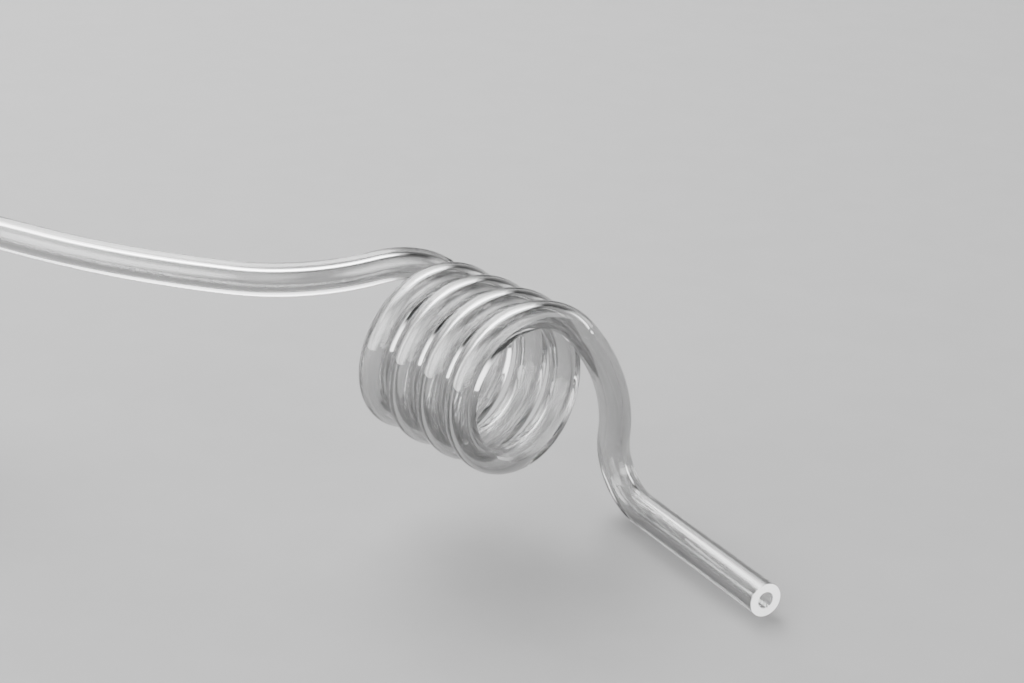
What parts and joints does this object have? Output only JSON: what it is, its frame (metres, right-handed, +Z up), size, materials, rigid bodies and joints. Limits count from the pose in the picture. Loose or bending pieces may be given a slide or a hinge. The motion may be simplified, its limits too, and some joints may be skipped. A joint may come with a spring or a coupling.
{
  "type": "immersion cooling coil",
  "caption": "Clear plastic tube formed into a small sideways coil with bent legs, on a push-fit connector with a swivel garden-hose nut.",
  "frame": {"origin": "centre of the hose nut's mouth, on the nut's axis", "axes": "+X along the inlet leg into the part, +Y to the back of the coil, +Z up as hung with the coil level"},
  "size_m": [0.2945, 0.0912, 0.0887],
  "materials": {
    "clear_tube": "clear, polished skin, frosted cut end",
    "black_acetal": "moulded, fine satin",
    "dark_acetal": "moulded, satin, ribbed grip",
    "white_acetal": "moulded, satin",
    "grey_acetal": "moulded, satin",
    "rubber": "moulded",
    "steel": "stamped spring steel"
  },
  "bodies": {
    "coil": {"formed_tube": "clear_tube", "connector_body": "black_acetal", "hose_washer": "rubber", "retaining_ring": "steel", "tube_o_ring": "rubber", "o_ring_guard": "white_acetal", "grab_ring": "steel", "end_cap": "black_acetal"},
    "nut": {"swivel_nut": "dark_acetal"},
    "collar": {"release_collar": "grey_acetal"}
  },
  "joints": [
    {"name": "nut_swivel", "type": "hinge", "parent": "coil", "child": "nut", "pos_m": [0.0145, 0, 0], "axis": [1, 0, 0], "continuous": true},
    {"name": "collar_push", "type": "slide", "parent": "coil", "child": "collar", "axis": [-1, 0, 0], "range_m": [0, 0.0015]}
  ]
}
